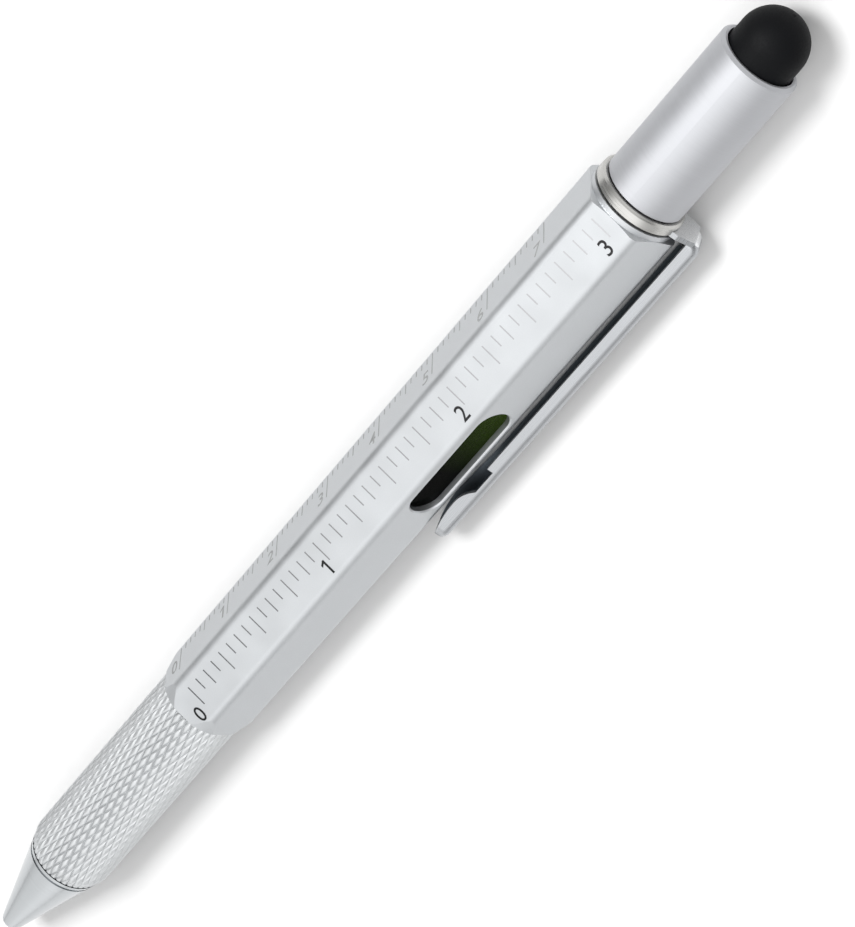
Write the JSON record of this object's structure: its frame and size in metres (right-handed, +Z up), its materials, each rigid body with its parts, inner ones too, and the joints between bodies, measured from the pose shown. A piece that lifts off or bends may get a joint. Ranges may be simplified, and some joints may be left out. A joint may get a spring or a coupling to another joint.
{
  "type": "multi tool pen",
  "caption": "Hexagonal metal twist pen with inch and cm scales, a spirit level, a pocket clip, a knurled grip, a soft stylus tip and a driver bit under its cap.",
  "frame": {"origin": "middle of the barrel's flat face that the pen rests on, opposite the inch scale", "axes": "+X along the pen from the writing end to the stylus, +Z up out of the face with the inch scale, -Y on the side of the level and the clip"},
  "size_m": [0.1514, 0.0135, 0.01],
  "materials": {
    "barrel_metal": "matte satin silver",
    "grip_metal": "diamond knurled, satin silver",
    "nose_metal": "polished",
    "collar_metal": "polished",
    "clip_metal": "polished spring steel sheet",
    "cap_metal": "satin silver, bright rims",
    "insert_brass": "turned",
    "stylus_plug_plastic": "matte black",
    "stylus_rubber": "matte black",
    "vial_plastic": "clear",
    "level_liquid_green": "clear green",
    "vial_plug_plastic": "gloss",
    "lens_plastic": "clear, polished",
    "carrier_plastic": "matte black",
    "bush_plastic": "matte dark grey",
    "cam_plastic": "matte white",
    "twist_tube_brass": "turned",
    "plunger_plastic": "matte black",
    "pin_steel": "ground",
    "refill_tip_brass": "turned",
    "ball_steel": "polished",
    "refill_tube_plastic": "milky",
    "ink": "thick ink",
    "follower_grease": "clear grease",
    "holder_steel": "turned",
    "magnet_metal": "plated",
    "bit_steel": "satin tool steel"
  },
  "bodies": {
    "barrel": {"hex_barrel": "barrel_metal", "collar_ring": "collar_metal", "vial_carrier": "carrier_plastic", "level_lens": "lens_plastic", "level_vial": "vial_plastic", "vial_plug": "vial_plug_plastic", "level_liquid": "level_liquid_green", "mechanism_bush": "bush_plastic", "cam_sleeve": "cam_plastic", "bit_holder": "holder_steel", "bit_magnet": "magnet_metal"},
    "grip_unit": {"grip": "grip_metal", "nose_cone": "nose_metal", "twist_tube": "twist_tube_brass"},
    "refill_unit": {"plunger": "plunger_plastic", "plunger_pin": "pin_steel", "refill_tube": "refill_tube_plastic", "refill_tip": "refill_tip_brass", "refill_ball": "ball_steel", "refill_ink": "ink", "refill_follower": "follower_grease"},
    "cap": {"cap_tube": "cap_metal", "cap_insert": "insert_brass", "stylus_base": "stylus_plug_plastic", "stylus_tip": "stylus_rubber"},
    "bit": {"driver_bit": "bit_steel"},
    "clip": {"pocket_clip": "clip_metal"}
  },
  "joints": [
    {"name": "grip_twist", "type": "hinge", "parent": "barrel", "child": "grip_unit", "pos_m": [-0.04095, 0, 0.005], "axis": [-1, 0, 0], "range_deg": [0, 180]},
    {"name": "refill_slide", "type": "slide", "parent": "grip_unit", "child": "refill_unit", "axis": [-1, 0, 0], "range_m": [0, 0.005]},
    {"name": "cap_pull", "type": "slide", "parent": "barrel", "child": "cap", "axis": [1, 0, 0], "range_m": [0, 0.028]},
    {"name": "bit_pull", "type": "slide", "parent": "barrel", "child": "bit", "axis": [1, 0, 0], "range_m": [0, 0.014]},
    {"name": "clip_flex", "type": "hinge", "parent": "barrel", "child": "clip", "pos_m": [0.04135, -0.00402, 0.00377], "axis": [0, -0.2924, 0.9563], "range_deg": [0, 3.5], "stiffness_Nm_per_rad": 2}
  ],
  "couplings": [
    {"joint": "refill_slide", "follows": "grip_twist", "m_per_rad": 0.0015915},
    {"joint": "bit_pull", "follows": "cap_pull", "ratio": 0.5}
  ]
}
